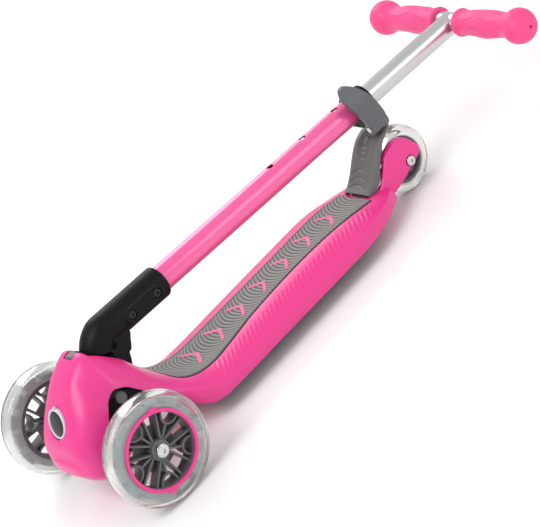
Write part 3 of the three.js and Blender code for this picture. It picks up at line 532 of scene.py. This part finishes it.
# painted shade: the grooves of the mat are darkened where shade falls, and a painted shadow darkens its rim
paintedShade = matPad.data.attributes.new("paintedShade", "FLOAT", "POINT")
for vertex, value in zip(matPad.data.vertices, paintedShade.data):
    x, y, z = vertex.co
    # painted shadow along the rim of the mat
    rim = ease(matHalf(y) - 2.6, matHalf(y) - 1.6, abs(x))
    onTop = z > surfaceZ(x, y) - 1.5
    value.value = max((1 - ease(0.2, 0.75, matWave(x, y))) * mat["paintedGrooveShade"] * onTop, rim)
done(matPad, "deckMat", layout, "deck", looks["mat_grey"], ["deck_mat"], 60)
for k in range(mat["marks"]):
    y0 = mat["markFirst"] + mat["markStep"] * k
    wide = matHalf(y0 + 10) * 0.62
    chevron = [(-wide, y0), (0, y0 + 11), (wide, y0), (wide, y0 + 5), (0, y0 + 16), (-wide, y0 + 5)]
    mark = plate(softened(chevron, 2.4, 4), 1.3, bevel=0.35, segments=2)
    for vertex in mark.data.vertices:
        vertex.co.z += topLine(vertex.co.y) - 0.35
    done(mark, f"matMark{k + 1}", layout, "deck", markPink, angle=40)
print("mat")

# buttons and lock
done(block(-7.6, 7.6, 17.2, 28.4, 145.2, 150.8, 2.7, 5), "foldButton", layout, "fold_key",
     looks["brake_grey"], ["fold_button"], 60)
bezel = ringTurned([(-4, lock["bore"]), (-4, lock["bezel"]), (0.4, lock["bezel"]), (1.6, 15.6),
                    (1.4, lock["bore"])], 0.6, 128)
tick = block(-1.6, 1.6, 14.4, 18.6, -1.0, 1.5, 0.4)
carve(bezel, tick, operation="UNION")
done(bezel, "lockBezel", lockFrame, "deck", looks["bezel_grey"], ["lock_bezel"], 50)
button = turned(softened([(-12.5, 4), (-3.8, 4), (-3.8, lock["button"]), (0.2, 13.1), (0.9, 11.4),
                          (1.3, 6), (1.4, 0.3)], 0.5, 3, False), 128)
done(button, "lockButton", lockFrame, "lock_key", buttonBlack, ["lock_button"], 50)
print("buttons")

# folding elbow
elbow = {"height": 24.6, "radius": 18.2, "end": 78, "hub": 7.8, "screws": (23.6, 59.9), "voxel": 0.6}


def bendRing(degrees):
    a = math.radians(degrees)
    reach = elbow["height"] + min((degrees - 90) / 20, 1) * 1.7
    ring = []
    for i in range(56):
        b = i / 56 * 2 * math.pi
        r = reach + elbow["radius"] * math.cos(b)
        ring.append((17.6 * math.sin(b), r * math.cos(a), r * math.sin(a)))
    return ring


def sector(radius, start, end, steps=12):
    angles = [math.radians(start + (end - start) * i / steps) for i in range(steps + 1)]
    return [(0, 0)] + [(radius * math.cos(a), radius * math.sin(a)) for a in angles]


def barX(x0, x1, y, z, radius, edge=0.5, sides=48):
    return bar((x0, y, z), (x1, y, z), radius, edge, sides)


def barY(y0, y1, x, z, radius, edge=0.5, sides=64):
    return bar((x, y0, z), (x, y1, z), radius, edge, sides)


h = elbow["height"]
lip = turned(softened([(-0.5, 0.5), (-0.5, elbow["radius"]), (75.4, elbow["radius"]), (elbow["end"], 16.4),
                       (elbow["end"], 0.5)], 1.6, 4, False), 96)
moved(lip, Matrix.Translation((0, 0, h)) @ alongY)
webOutline = [(-6, 16), (-14, 0), (-4, -7), (3, -6.8), (7.6, -1), (10, 4), (13, 8.5), (15, 14)]
parts = [skin([bendRing(d) for d in rows(90, 156, 4)]), lip, barX(-16, 16, 0, 0, elbow["hub"], 4),
         moved(plate(sector(18, 148, 228), 34.8, -17.4), sideOn),
         moved(plate(webOutline, 34.4, -17.2, 5, 5), sideOn),
         block(12, 19.6, 22, 62, h - 8.6, h + 8.6),
         barX(12, 19.6, 22, h, 8.6, 0.8), barX(12, 19.6, 62, h, 8.6, 0.8)]
base = moulded(parts, elbow["voxel"], 10)
tools = [barY(14, 90, 0, h, 14.7, 0.2), barX(-8.4, 8.4, 0, 0, 7.9, 0.2),
         moved(plate(sector(31, 131, 322, 16), 16.8, -8.4), sideOn)]
for y in elbow["screws"]:
    tools.append(barX(16.6, 30, y, h, 5.2, 0.2))
carve(base, *tools)
done(base, "columnElbow", column, "column", looks["black_moulding"], ["column_base"], 40)
for i, y in enumerate(elbow["screws"]):
    screw = turned(softened([(10, 2.4), (16.7, 2.4), (16.7, 4.5), (18.9, 4.5), (19.1, 0.3)],
                            0.5, 3, False), 48)
    carve(screw, barTurned(17.4, 22, 2.2, 0.1, 6))
    moved(screw, Matrix.Translation((0, y, h)) @ acrossX)
    done(screw, f"columnScrew{i + 1}", column, "column", buttonBlack,
         [f"column_screw_{i + 1}"], 40)
print("elbow", len(base.data.polygons))

# tubes
tubes = {"lowerEnd": 376, "lowerRadius": 14.3, "upperRadius": 12.5, "snapAt": 303.4, "step": 50,
         "barAt": 534.2, "barRadius": 11, "ballAt": 118.3}


def tubePiece(y0, y1, outer, inner):
    obj = ringTurned([(y0, inner), (y0, outer), (y1, outer), (y1, inner)], 0.4, 96, 3)
    return moved(obj, Matrix.Translation((0, 0, h)) @ alongY)


lower = tubePiece(16, tubes["lowerEnd"], tubes["lowerRadius"], 13.1)
for k in (-1, 0, 1):
    holeAt = tubes["snapAt"] + k * tubes["step"]
    carve(lower, bar((0, holeAt, h), (0, holeAt, h + 30), 4.2))
done(lower, "lowerTube", column, "column", looks["pink_paint"], ["lower_tube"], 40)
upper = tubePiece(tubes["snapAt"] - 22, tubes["barAt"], tubes["upperRadius"], 11.1)
carve(upper, barX(-60, 60, tubes["barAt"], h, tubes["barRadius"] + 0.05, 0.2, 96),
      bar((0, tubes["snapAt"], h), (0, tubes["snapAt"], h + 30), 4))
done(upper, "upperTube", column, "tbar", looks["silver_tube"], ["upper_tube"], 40)
cross = ringTurned([(-tubes["ballAt"], 9.4), (-tubes["ballAt"], tubes["barRadius"]),
                    (tubes["ballAt"], tubes["barRadius"]), (tubes["ballAt"], 9.4)], 0.3, 96, 3)
moved(cross, Matrix.Translation((0, tubes["barAt"], h)) @ acrossX)
done(cross, "crossTube", column, "tbar", looks["silver_tube"], ["cross_tube"], 40)
print("tubes")

# grips
grip = {"ballRadius": 19.7, "ballSteps": 90, "sides": 192, "waveHeight": 0.7, "waves": 9, "bends": 7.5,
        "ringRadii": (4.6, 7.6, 10.8), "ringDepth": 0.55}


def makeGrip(side):
    profile = softened([(18, 11.3), (18, 14.6), (19.6, 15.8), (21.6, 15.6), (25, 13.7), (29, 13.4)],
                       0.7, 3, False)
    body = along([(29, 13.4), (40, 14.2), (52, 15.1), (64, 15.6), (78, 14.8), (94, 13.4), (98, 13.4),
                  (102, 14.4)])
    profile += [(x, body(x)) for x in rows(30, 101, 1)]
    for i in range(grip["ballSteps"]):
        a = math.pi * (0.70 - 0.67 * i / (grip["ballSteps"] - 1))
        profile.append((tubes["ballAt"] + grip["ballRadius"] * math.cos(a), grip["ballRadius"] * math.sin(a)))
    profile += [(137.4, 1.6), (133.0, 1.5)]
    obj = turned(profile, grip["sides"])
    for vertex in obj.data.vertices:
        x = vertex.co.z
        r = math.hypot(vertex.co.x, vertex.co.y)
        angle = math.atan2(vertex.co.y, vertex.co.x)
        if 30 < x < 98 and r > 12:
            fade = ease(31, 38, x) * (1 - ease(90, 97, x))
            wave = math.sin(angle * grip["waves"] + 1.5 * math.sin(x / grip["bends"]))
            lift = grip["waveHeight"] * fade * (max(0, wave) ** 2 - 0.3)
            vertex.co.x *= (r + lift) / r
            vertex.co.y *= (r + lift) / r
        if x > 130 and r > 2:
            for ringRadius in grip["ringRadii"]:
                vertex.co.z -= grip["ringDepth"] * math.exp(-((r - ringRadius) / 0.55) ** 2)
    if side < 0:
        moved(obj, Matrix.Scale(-1, 4, (0, 0, 1)))
        cleanNormals(obj)
    return moved(obj, Matrix.Translation((0, tubes["barAt"], h)) @ acrossX)


for side, name in ((1, "left"), (-1, "right")):
    done(makeGrip(side), "grip" + name.capitalize(), column, "tbar", looks["pink_grip"],
         ["grip_" + name], 60)
print("grips")

# height clamp and lever
clamp = {"from": 367, "to": 394, "boltDrop": 22.4, "pinX": 20.6, "voxel": 0.45}
mid = (clamp["from"] + clamp["to"]) / 2
pinZ = h - clamp["boltDrop"]
collar = moulded([barY(clamp["from"] + 3, clamp["to"], 0, h, 17.3, 1.2, 96),
                  block(-12.4, 12.4, 370, 393, pinZ, h - 12, 1, 2), barX(-12.4, 12.4, mid, pinZ, 6.8, 1)],
                 clamp["voxel"], 4)
carve(collar, block(-1.2, 1.2, 360, 400, h - 40, h - 8), barY(350, 376.4, 0, h, 14.6, 0.2, 96),
      barY(360, 420, 0, h, 12.8, 0.2, 96))
done(collar, "clampCollar", column, "column", looks["black_moulding"], ["clamp_collar"], 40)


# the lever seen along the tube: half thicknesses either side of a middle line
def leverOutline():
    middle = [(20.6, -22.4), (24.4, -14), (24.6, -4), (24, 6), (21.6, 15), (17.4, 22.6), (13, 29.5),
              (9, 36.5)]
    half = [4.2, 4, 3.4, 3.3, 3.2, 3.1, 2.9, 2.2]
    outer = []
    inner = []
    for i, (x, z) in enumerate(middle):
        x0, z0 = middle[max(i - 1, 0)]
        x1, z1 = middle[min(i + 1, len(middle) - 1)]
        size = math.hypot(x1 - x0, z1 - z0)
        nx, nz = (z1 - z0) / size, -(x1 - x0) / size
        outer.append((x + nx * half[i], z + nz * half[i] + h))
        inner.append((x - nx * half[i], z - nz * half[i] + h))
    return softened(outer + inner[::-1], 6, 5)


leverSide = [(367, -8), (393, -8), (392, 8), (389.5, 28), (385, 42), (379, 52), (371, 58.5), (364, 58),
             (359, 51), (357.5, 44), (359, 36), (364, 22), (367, 8)]
blade = moved(plate(leverOutline(), clamp["to"] - clamp["from"] + 12, -clamp["to"]), frontOn)
carve(blade, moved(plate(softened(leverSide, 10, 5), 80, -20), sideOn), operation="INTERSECT")
eye = barY(clamp["from"] + 1, clamp["to"] - 2, clamp["pinX"], pinZ, 7.4, 1)
lever = moulded([blade, eye], clamp["voxel"], 5)
carve(lever, barY(350, 420, clamp["pinX"], pinZ, 4.1, 0.2),
      block(8, 26, mid - 3.6, mid + 3.6, pinZ - 12, pinZ + 3.6))
done(lever, "clampLever", column, "lever", looks["lever_grey"], ["clamp_lever"], 40)
clampBolt = joined(barX(-16.6, -12.8, mid, pinZ, 5.4, 1), barX(-13, 16.4, mid, pinZ, 2.9))
done(clampBolt, "clampBolt", column, "column", looks["steel"], ["clamp_bolt"], 40)
leverPin = barY(clamp["from"] + 0.4, clamp["to"] - 1.4, clamp["pinX"], pinZ, 3.8, 0.8)
done(leverPin, "leverPin", column, "column", looks["steel"], ["lever_pin"], 40)
print("clamp and lever")

# front wheels
wheel = {"radius": 60.5, "inner": 43.4, "half": 11.75, "cavityHalf": 6.8, "cavityRadius": 54.2, "lugs": 14,
         "folds": 5, "ringInner": 39.2, "ringOuter": 43.2, "tabAngles": (-22, 158)}


def makeTyre():
    radius, inner, half = wheel["radius"], wheel["inner"], wheel["half"]
    hollow, roof = wheel["cavityHalf"], wheel["cavityRadius"]
    outside = [(-half + 1, inner), (-half, inner + 1.6), (-half, radius - 8), (-half + 3.2, radius - 2.2),
               (-4, radius), (4, radius), (half - 3.2, radius - 2.2), (half, radius - 8), (half, inner + 1.6),
               (half - 1, inner)]
    inside = [(hollow, inner), (hollow, roof), (-hollow, roof), (-hollow, inner)]
    return ringTurned(outside + inside, 2.2, 128, 4)


def tooth(r0, r1, a0, a1, depth, bevel=0.4):
    corners = [(r * math.cos(a), r * math.sin(a)) for r, a in
               ((r0, a0), (r1, a0), (r1, (a0 + a1) / 2), (r1, a1), (r0, a1), (r0, (a0 + a1) / 2))]
    return plate(corners, depth * 2, -depth, bevel, 2)


def makeCore():
    band = ringTurned([(-6.5, 43.4), (-6.5, 46.6), (6.5, 46.6), (6.5, 43.4)], 0.4, 128, 2)
    pieces = [band]
    for i in range(wheel["lugs"]):
        a = i / wheel["lugs"] * 2 * math.pi
        w = math.pi / wheel["lugs"] * 0.66
        pieces.append(tooth(46.2, 53.6 if i % 2 else 50.6, a - w, a + w, 6))
    return joined(*pieces)


def makeHub():
    rim = ringTurned([(-9.4, 38.6), (-9.4, 43.1), (9.4, 43.1), (9.4, 38.6)], 0.8, 128, 3)
    boss = ringTurned([(-9.8, 6), (-9.8, 11), (9.8, 11), (9.8, 6)], 0.8, 64, 3)
    pieces = []
    for i in range(wheel["folds"]):
        a = i / wheel["folds"] * 2 * math.pi + math.pi / 2
        b = a + math.pi / wheel["folds"]

        def at(angle, r, t):
            return (r * math.cos(angle) - t * math.sin(angle), r * math.sin(angle) + t * math.cos(angle))
        for k in (-1, 1):
            spoke = [at(a, 8, k * 3.2), at(a, 8, k * 5.6), at(a, 40.4, k * 9.6), at(a, 40.4, k * 7.2)]
            pieces.append(plate(spoke, 14, -7, 0.5, 2))
        outer = [at(b, 39.9 - 14 * math.sin(c), 11 * math.cos(c)) for c in rows(0, math.pi, math.pi / 14)]
        inner = [at(b, 39.9 - 11.8 * math.sin(c), 8.9 * math.cos(c)) for c in rows(0, math.pi, math.pi / 14)]
        pieces.append(plate(outer + inner[::-1], 15, -7.5, 0.4, 2))
        rib = [at(b, 8, -1.2), at(b, 8, 1.2), at(b, 26.6, 1.2), at(b, 26.6, -1.2)]
        pieces.append(plate(rib, 13, -6.5, 0.4, 2))
        pieces.append(plate([at(a, 9, -3.6), at(a, 9, 3.6), at(a, 24, 5.4), at(a, 24, -5.4)], 2.4, -5.8))
    whole = carve(rim, boss, operation="UNION")
    for piece in pieces:
        carve(whole, piece, operation="UNION")
    return carve(whole, barTurned(-12, 12, 6.2, 0.1, 64), barTurned(3.6, 12, 8.2, 0.2, 64),
                 barTurned(-12, -3.6, 8.2, 0.2, 64))


core = makeCore()
hub = makeHub()
tyre = makeTyre()
ring = ringTurned([(9.6, wheel["ringInner"]), (9.6, wheel["ringOuter"]), (12.1, wheel["ringOuter"]),
                   (12.1, wheel["ringInner"])], 0.7, 128, 3)
for a in (math.radians(angle) for angle in wheel["tabAngles"]):
    tab = tooth(41.8, 46.2, a - 0.11, a + 0.11, 0.6, 0.3)
    carve(ring, moved(tab, Matrix.Translation((0, 0, 11.9))), operation="UNION")
boltHead = turned(softened([(8, 4), (10, 4), (10, 7.4), (13.4, 7.2), (14.2, 5.2), (14.4, 0.3)],
                           0.6, 4, False), 64)
carve(boltHead, barTurned(12.2, 20, 3, 0.1, 6))
stem = barTurned(-76, 10.2, 4, 0.4)
bolt = joined(boltHead, stem)
for side, name in ((1, "left"), (-1, "right")):
    turn = acrossX if side > 0 else Matrix.Rotation(math.pi, 4, "Z") @ acrossX
    at = wheelAt[name] @ turn
    body = "wheel_" + name
    end = name.capitalize()
    done(copied(tyre), "tyre" + end, at, body, looks["clear_tyre"], ["tyre_" + name], 50)
    done(copied(core), "core" + end, at, body, looks["core_white"], ["tyre_core_" + name], 40)
    done(copied(hub), "hub" + end, at, body, looks["hub_grey"], ["hub_" + name], 35)
    done(copied(ring), "hubRing" + end, at, body, looks["pink_moulding"],
         ["hub_ring_" + name], 40)
    done(copied(bolt), "axleBolt" + end, at, "truck", looks["steel"], ["axle_bolt_" + name], 35)
for source in (core, hub, tyre, ring, bolt):
    bpy.data.objects.remove(source)
print("front wheels")

# distance from the middle and radius of the axle arms
armWidths = ((4, 13), (8, 13), (26, 12.5), (46, 11), (70, 9.6), (86, 8.7), (87.5, 7.8))
arm = []
for side in (1, -1):
    turns = rows(0, 2 * math.pi, math.pi / 20)[:-1]
    arm.append(skin([[(side * x, r * math.cos(b), r * 0.92 * math.sin(b)) for b in turns]
                     for x, r in armWidths]))
arm.append(barTurned(-21, 19, 15.5, 1))
truck = moulded(arm, 0.9, 3)
carve(truck, barTurned(-40, 40, 5.3, 0.1))
done(truck, "truckBody", steering, "truck", looks["black_moulding"], ["truck_body"], 40)
print("truck")

# rear wheel
rearTyre = ringTurned([(-10.75, 26.4), (-11.75, 28), (-11.75, 30.3), (-8.4, 36.2), (-4, 38.3), (4, 38.3),
                       (8.4, 36.2), (11.75, 30.3), (11.75, 28), (10.75, 26.4)], 1.6, 128, 4)
done(moved(rearTyre, acrossX), "tyreRear", wheelAt["rear"], "wheel_rear", looks["clear_tyre"],
     ["tyre_rear"], 50)
rearHub = ringTurned([(-10.2, 8.2), (-10.2, 13), (-6, 15), (-6, 21.5), (-10.6, 23), (-10.6, 26.1),
                      (10.6, 26.1), (10.6, 23), (6, 21.5), (6, 15), (10.2, 13), (10.2, 8.2), (4, 8.2),
                      (4, 5.6), (-4, 5.6), (-4, 8.2)], 0.7, 96, 3)
for k in range(6):
    a = k / 6 * 2 * math.pi
    hole = moved(barTurned(-20, 20, 3.2, 0.1), Matrix.Translation((18 * math.cos(a), 18 * math.sin(a), 0)))
    carve(rearHub, hole)
done(moved(rearHub, acrossX), "hubRear", wheelAt["rear"], "wheel_rear", looks["hub_grey"],
     ["hub_rear"], 40)
rearBolt = turned(softened([(-29.6, 3.1), (24.8, 3.1), (24.8, 5.6), (27.2, 5.4), (27.6, 0.3)],
                           0.5, 3, False), 64)
carve(rearBolt, barTurned(25.6, 30, 2.2, 0.1, 6))
done(moved(rearBolt, acrossX), "rearAxleBolt", wheelAt["rear"], "deck", looks["steel"],
     ["rear_axle_bolt"], 40)
print("rear wheel")

# heel brake
brake = {"step": 0.04, "across": 112, "wall": 2.6, "crown": 0.72, "pivotY": 399, "pivotZ": 33,
         "ovalRims": (0.38, 0.68, 0.98), "rimHeight": 0.9, "ridges": 3, "ridgeHeight": 1.0}
# the fender's middle line, half width and side wall, from its foot (0) to its tip (8)
fenderY = along([(0, 391), (1, 399), (2, 407), (3, 415), (4, 425), (5, 436), (6, 447), (7, 457), (8, 463.5)])
fenderZ = along([(0, 45.4), (1, 49.2), (2, 55.4), (3, 63), (4, 72.6), (5, 80.6), (6, 85), (7, 86.6),
                 (8, 88.4)])
fenderHalf = along([(0, 22), (1, 22.4), (2, 22.4), (3, 22.2), (4, 21.8), (5, 21.6), (6, 21), (7, 19),
                    (8, 15)])
fenderDeep = along([(0, 5.6), (1, 9), (2, 11.5), (3, 9.5), (4, 9), (5, 7.4), (6, 6), (7, 5), (8, 4)])


# v runs along the fender, u across it from -1 to 1; depth goes inward
def fenderPoint(v, u, depth, shrink=0.0):
    crown = brake["crown"]
    y, z = fenderY(v), fenderZ(v)
    low, high = max(v - 0.05, 0), min(v + 0.05, 8)
    dy, dz = fenderY(high) - fenderY(low), fenderZ(high) - fenderZ(low)
    size = math.hypot(dy, dz)
    down = (dz / size, -dy / size)
    half = fenderHalf(v) - shrink
    deep = fenderDeep(v)
    if abs(u) <= crown:
        x = half * u / crown * 0.93
        drop = 1.5 * abs(u / crown) ** 3
    else:
        s = (abs(u) - crown) / (1 - crown)
        x = math.copysign(half * (0.93 + 0.07 * min(s * 3, 1)), u)
        drop = 1.5 + (deep - 1.5) * s
    drop += depth
    return (x, y + down[0] * drop, z + down[1] * drop)


def fenderRelief(v, u):
    relief = 0.0
    if abs(u) < 0.7:
        x = u / brake["crown"] * 20
        oval = math.hypot(x / 11.5, (v - 5.1) * 10.5 / 15)
        for rim in brake["ovalRims"]:
            relief += brake["rimHeight"] * math.exp(-((oval - rim) / 0.06) ** 2)
        for k in range(brake["ridges"]):
            ridge = (v - 1.1 - 0.8 * k) * 9 + 0.02 * x * x
            relief += brake["ridgeHeight"] * math.exp(-(ridge / 0.9) ** 2) * (1 - ease(13, 17, abs(x)))
    return relief


fenderRings = []
across = [-1 + 2 * i / brake["across"] for i in range(brake["across"] + 1)]
for v in rows(0, 8, brake["step"]):
    outside = [fenderPoint(v, u, fenderRelief(v, u)) for u in across]
    inside = [fenderPoint(v, u, brake["wall"] if abs(u) < brake["crown"] else 0.0,
                          2.4 if abs(u) > brake["crown"] else 0.6) for u in across]
    fenderRings.append(outside + inside[::-1])
fender = skin(fenderRings)
knuckleOutline = [(394.6, 45), (400, 48), (404, 40), (404.4, 33), (394, 33)]
knuckle = joined(barX(-12.8, 12.8, brake["pivotY"], brake["pivotZ"], 5.6, 0.6),
                 moved(plate(knuckleOutline, 25.6, -12.8), sideOn))
done(fender, "heelBrake", layout, "brake", looks["brake_grey"], ["brake_fender"], 50)
done(knuckle, "heelBrakeKnuckle", layout, "brake", looks["brake_grey"], angle=40)
print("brake")

# stage: floor, lights and camera
stage = {"floorSize": 14.0, "worldStrength": 0.8, "keyPower": 34, "fillPower": 10, "rimPower": 16}
deselect()
bpy.ops.mesh.primitive_plane_add(size=stage["floorSize"])
floor = bpy.context.object
floor.name = "floor"
floor.data.materials.append(material("floorPale", (0.93, 0.93, 0.93), 0.9, vary=0.01, scale=3.0))

world = bpy.data.worlds.new("studio")
bpy.context.scene.world = world
world.use_nodes = True
world.node_tree.nodes["Background"].inputs["Color"].default_value = (1, 1, 1, 1)
world.node_tree.nodes["Background"].inputs["Strength"].default_value = stage["worldStrength"]


def softLight(name, location, size, power):
    data = bpy.data.lights.new(name, "AREA")
    data.shape = "RECTANGLE"
    data.size, data.size_y = size
    data.energy = power
    light = bpy.data.objects.new(name, data)
    light.location = location
    light.rotation_euler = (Vector((0, 0, 0.1)) - Vector(location)).to_track_quat("-Z", "Y").to_euler()
    bpy.context.scene.collection.objects.link(light)


softLight("key", (0.6, -1.6, 2.4), (1.6, 1.2), stage["keyPower"])
softLight("fill", (2.2, 1.4, 1.2), (1.4, 1.4), stage["fillPower"])
softLight("rim", (-1.8, 0.6, 1.6), (1.2, 1.6), stage["rimPower"])

view = {"location": (2.5353, -1.1312, 1.4294), "target": (0.0017, -0.0204, 0.0604), "roll": -34.62,
        "lens": 194.2}
cameraData = bpy.data.cameras.new("camera")
cameraData.lens = view["lens"]
cameraData.sensor_width = 36
camera = bpy.data.objects.new("camera", cameraData)
bpy.context.scene.collection.objects.link(camera)
forward = (Vector(view["target"]) - Vector(view["location"])).normalized()
level = forward.to_track_quat("-Z", "Y").to_matrix().to_4x4()
camera.matrix_world = (Matrix.Translation(view["location"]) @ level
                       @ Matrix.Rotation(math.radians(view["roll"]), 4, "Z"))
bpy.context.scene.camera = camera
bpy.context.scene.view_settings.view_transform = "Standard"
print("stage")
